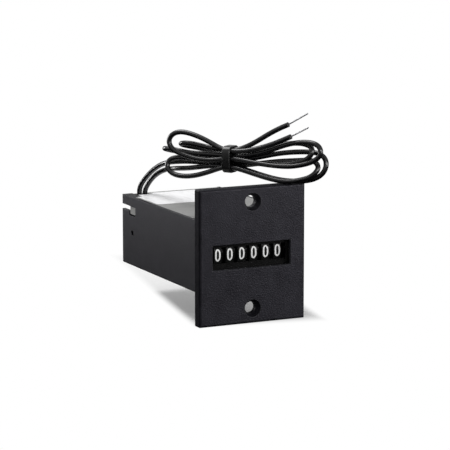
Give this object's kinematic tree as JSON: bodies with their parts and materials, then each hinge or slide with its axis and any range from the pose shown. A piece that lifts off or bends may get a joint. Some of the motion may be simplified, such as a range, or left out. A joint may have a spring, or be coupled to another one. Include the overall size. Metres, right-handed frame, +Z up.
{
  "type": "panel counter",
  "caption": "Electromechanical impulse counter for panel mounting: flat front plate with a figure window, long box behind it and two leads in a tied hank.",
  "frame": {"origin": "centre of the front plate's rear face, midway between the two screw holes", "axes": "+Y back into the panel along the screws, +Z up along the line of the screw holes, +X to the right as seen from the front"},
  "size_m": [0.0472, 0.0832, 0.076],
  "materials": {
    "black_plate": "fine satin",
    "black_housing": "satin",
    "clear_lens": "clear acrylic",
    "mask_black": "matt",
    "grey_plastic": "satin",
    "label_film": "printed film",
    "black_relief": "moulded",
    "plated_steel": "zinc plated",
    "screw_steel": "plated",
    "ground_steel": "ground",
    "spring_steel": "drawn",
    "soft_iron": "annealed, plated",
    "natural_plastic": "natural acetal",
    "wheel_black": "matt, printed figures",
    "bobbin_plastic": "glass-filled",
    "copper_winding": "enamelled wire under tape",
    "terminal_brass": "tinned",
    "lead_pvc": "glossy PVC",
    "tie_nylon": "nylon",
    "tinned_copper": "tinned"
  },
  "bodies": {
    "root": {"front_plate": "black_plate", "window_lens": "clear_lens", "digit_mask": "mask_black", "housing": "black_housing", "top_cover": "grey_plastic", "label": "label_film", "strain_relief": "black_relief", "chassis": "plated_steel", "body_screws": "screw_steel", "wheel_shaft": "ground_steel", "wheel_spacer_left": "natural_plastic", "wheel_spacer_right": "natural_plastic", "pinion_shaft": "ground_steel", "pinion_spacer_left": "natural_plastic", "pinion_spacer_right": "natural_plastic", "shaft_clips": "spring_steel", "armature_pin": "ground_steel", "return_spring": "spring_steel", "yoke": "soft_iron", "core": "soft_iron", "bobbin": "bobbin_plastic", "winding": "copper_winding", "coil_terminals": "terminal_brass", "inner_lead_1": "lead_pvc", "inner_lead_2": "lead_pvc", "lead_rise_1": "lead_pvc", "lead_rise_2": "lead_pvc", "wire_hank": "lead_pvc", "cable_tie": "tie_nylon", "lead_end_1": "lead_pvc", "lead_end_2": "lead_pvc", "conductor_1": "tinned_copper", "conductor_2": "tinned_copper"},
    "wheel_1": {"number_wheel_1": "wheel_black"},
    "wheel_2": {"number_wheel_2": "wheel_black"},
    "wheel_3": {"number_wheel_3": "wheel_black"},
    "wheel_4": {"number_wheel_4": "wheel_black"},
    "wheel_5": {"number_wheel_5": "wheel_black"},
    "wheel_6": {"number_wheel_6": "wheel_black"},
    "pinion_1": {"transfer_pinion_1": "natural_plastic"},
    "pinion_2": {"transfer_pinion_2": "natural_plastic"},
    "pinion_3": {"transfer_pinion_3": "natural_plastic"},
    "pinion_4": {"transfer_pinion_4": "natural_plastic"},
    "pinion_5": {"transfer_pinion_5": "natural_plastic"},
    "armature": {"armature": "soft_iron", "pallet_arm": "natural_plastic"}
  },
  "joints": [
    {"name": "wheel_1_turn", "type": "hinge", "parent": "root", "child": "wheel_1", "pos_m": [0.01165, 0.00834, 0.0004], "axis": [1, 0, 0], "continuous": true},
    {"name": "wheel_2_turn", "type": "hinge", "parent": "root", "child": "wheel_2", "pos_m": [0.00685, 0.00834, 0.0004], "axis": [1, 0, 0], "continuous": true},
    {"name": "wheel_3_turn", "type": "hinge", "parent": "root", "child": "wheel_3", "pos_m": [0.00205, 0.00834, 0.0004], "axis": [1, 0, 0], "continuous": true},
    {"name": "wheel_4_turn", "type": "hinge", "parent": "root", "child": "wheel_4", "pos_m": [-0.00275, 0.00834, 0.0004], "axis": [1, 0, 0], "continuous": true},
    {"name": "wheel_5_turn", "type": "hinge", "parent": "root", "child": "wheel_5", "pos_m": [-0.00755, 0.00834, 0.0004], "axis": [1, 0, 0], "continuous": true},
    {"name": "wheel_6_turn", "type": "hinge", "parent": "root", "child": "wheel_6", "pos_m": [-0.01235, 0.00834, 0.0004], "axis": [1, 0, 0], "continuous": true},
    {"name": "pinion_1_spin", "type": "hinge", "parent": "root", "child": "pinion_1", "pos_m": [0.00925, 0.01884, 0.0004], "axis": [1, 0, 0], "continuous": true},
    {"name": "pinion_2_spin", "type": "hinge", "parent": "root", "child": "pinion_2", "pos_m": [0.00445, 0.01884, 0.0004], "axis": [1, 0, 0], "continuous": true},
    {"name": "pinion_3_spin", "type": "hinge", "parent": "root", "child": "pinion_3", "pos_m": [-0.00035, 0.01884, 0.0004], "axis": [1, 0, 0], "continuous": true},
    {"name": "pinion_4_spin", "type": "hinge", "parent": "root", "child": "pinion_4", "pos_m": [-0.00515, 0.01884, 0.0004], "axis": [1, 0, 0], "continuous": true},
    {"name": "pinion_5_spin", "type": "hinge", "parent": "root", "child": "pinion_5", "pos_m": [-0.00995, 0.01884, 0.0004], "axis": [1, 0, 0], "continuous": true},
    {"name": "armature_swing", "type": "hinge", "parent": "root", "child": "armature", "pos_m": [0, 0.0306, -0.00865], "axis": [-1, 0, 0], "range_deg": [0, 4], "stiffness_Nm_per_rad": 0.005, "springref_deg": -11.46, "deforming": ["return_spring"]}
  ],
  "couplings": [
    {"joint": "pinion_1_spin", "follows": "wheel_2_turn", "ratio": -2.5},
    {"joint": "pinion_2_spin", "follows": "wheel_3_turn", "ratio": -2.5},
    {"joint": "pinion_3_spin", "follows": "wheel_4_turn", "ratio": -2.5},
    {"joint": "pinion_4_spin", "follows": "wheel_5_turn", "ratio": -2.5},
    {"joint": "pinion_5_spin", "follows": "wheel_6_turn", "ratio": -2.5}
  ]
}
